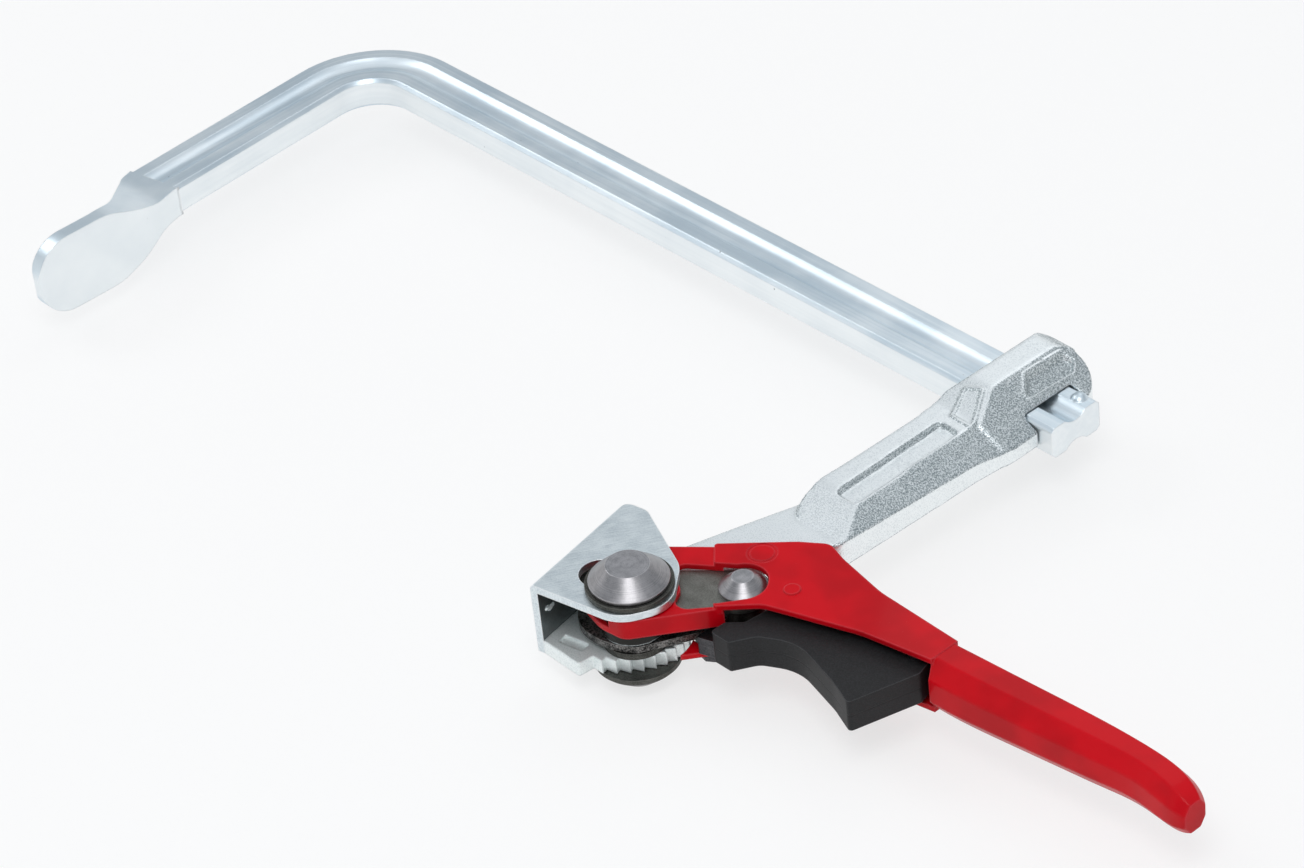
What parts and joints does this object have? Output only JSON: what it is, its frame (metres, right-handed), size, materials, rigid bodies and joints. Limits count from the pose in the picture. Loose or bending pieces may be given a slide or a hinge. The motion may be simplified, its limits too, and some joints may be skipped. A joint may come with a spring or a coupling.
{
  "type": "lever clamp",
  "caption": "All-steel lever clamp: grooved rail with a forged fixed jaw, sliding arm, and a red cam lever with a black release trigger that drives a toothed pressure plate.",
  "frame": {"origin": "middle of the fixed jaw's clamping face", "axes": "+X runs along the rail from the fixed jaw to the sliding arm, +Y from the jaws to the rail, +Z square to the rail's wide faces"},
  "size_m": [0.4866, 0.1894, 0.0409],
  "materials": {
    "rail_zinc": "smooth bright zinc plating",
    "arm_zinc": "zinc plating over a grainy forged surface",
    "plate_zinc": "satin zinc plating on bent sheet",
    "ratchet_zinc": "zinc plating over a grainy surface",
    "rivet_steel": "turned steel, lightly oiled",
    "washer_steel": "plain steel",
    "cam_steel": "hardened steel, matte",
    "pawl_steel": "blackened steel",
    "pin_black": "blackened steel",
    "lever_paint": "glossy red enamel",
    "trigger_plastic": "matte with a fine grain"
  },
  "bodies": {
    "rail": {"rail_with_fixed_jaw": "rail_zinc"},
    "arm": {"sliding_arm": "arm_zinc", "main_rivet": "rivet_steel", "rivet_collar": "washer_steel"},
    "lever": {"upper_cam_plate": "cam_steel", "lower_cam_plate": "cam_steel", "lever_rivet": "rivet_steel", "cam_spacer": "cam_steel", "lever_shell": "lever_paint", "stop_pin": "lever_paint", "trigger_pin": "pin_black", "trigger_spring": "pin_black"},
    "trigger": {"trigger": "trigger_plastic", "pawl": "pawl_steel"},
    "swivel": {"upper_washer": "washer_steel", "lower_washer": "washer_steel"},
    "plate": {"pressure_plate": "plate_zinc", "ratchet_plate": "ratchet_zinc"}
  },
  "joints": [
    {"name": "arm_slide", "type": "slide", "parent": "rail", "child": "arm", "axis": [1, 0, 0], "range_m": [-0.24, 0]},
    {"name": "lever_swing", "type": "hinge", "parent": "arm", "child": "lever", "pos_m": [0.2755, -0.012, 0], "axis": [0, 0, -1], "range_deg": [0, 75]},
    {"name": "trigger_pull", "type": "hinge", "parent": "lever", "child": "trigger", "pos_m": [0.355, 0.0245, 0], "axis": [0, 0, -1], "range_deg": [0, 2.5], "stiffness_Nm_per_rad": 0.5},
    {"name": "plate_tilt", "type": "hinge", "parent": "arm", "child": "swivel", "pos_m": [0.2755, -0.012, 0], "axis": [0, 0, 1], "range_deg": [-6, 6]},
    {"name": "plate_advance", "type": "slide", "parent": "swivel", "child": "plate", "axis": [0.9829, 0.184, 0], "range_m": [0, 0.01055]}
  ],
  "couplings": [
    {"joint": "plate_advance", "follows": "lever_swing", "m_per_rad": 0.008}
  ]
}
